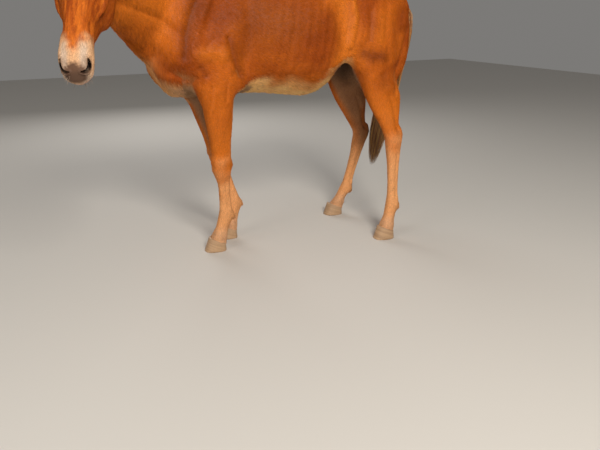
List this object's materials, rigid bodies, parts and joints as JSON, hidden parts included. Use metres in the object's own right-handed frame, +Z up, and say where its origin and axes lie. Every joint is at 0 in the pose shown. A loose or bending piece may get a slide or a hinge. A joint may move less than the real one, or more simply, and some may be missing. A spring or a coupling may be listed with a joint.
{
  "type": "mule",
  "caption": "Life-size standing mule as a still museum model, head lowered and turned to its left, long ears up, tail hanging.",
  "frame": {"origin": "on the floor, at the bottom centre of the bounding box, between the four hooves", "axes": "+Y from the chest to the tail, +X to the mule's left, +Z up"},
  "size_m": [0.9502, 1.9002, 1.6788],
  "materials": {
    "coat": "short sorrel coat, mealy cream muzzle and pale lower legs",
    "mane_hair": "coarse reddish mane and forelock hair",
    "tail_hair": "long flaxen and brown tail hair",
    "hoof_horn": "tan hoof horn with faint growth rings",
    "eye": "wet dark brown eye with a clear cornea"
  },
  "bodies": {
    "root": {"neck": "coat", "trunk": "coat", "hindquarters": "coat", "head": "coat", "forearm_left": "coat", "front_cannon_left": "coat", "front_pastern_left": "coat", "gaskin_left": "coat", "hind_cannon_left": "coat", "hind_pastern_left": "coat", "forearm_right": "coat", "front_cannon_right": "coat", "front_pastern_right": "coat", "gaskin_right": "coat", "hind_cannon_right": "coat", "hind_pastern_right": "coat", "ear_left": "coat", "ear_right": "coat", "tail_dock": "coat", "front_hoof_left": "hoof_horn", "hind_hoof_left": "hoof_horn", "front_hoof_right": "hoof_horn", "hind_hoof_right": "hoof_horn", "eye_left": "eye", "eye_right": "eye", "mane": "mane_hair", "forelock": "mane_hair", "tail_hair": "tail_hair"}
  },
  "joints": []
}
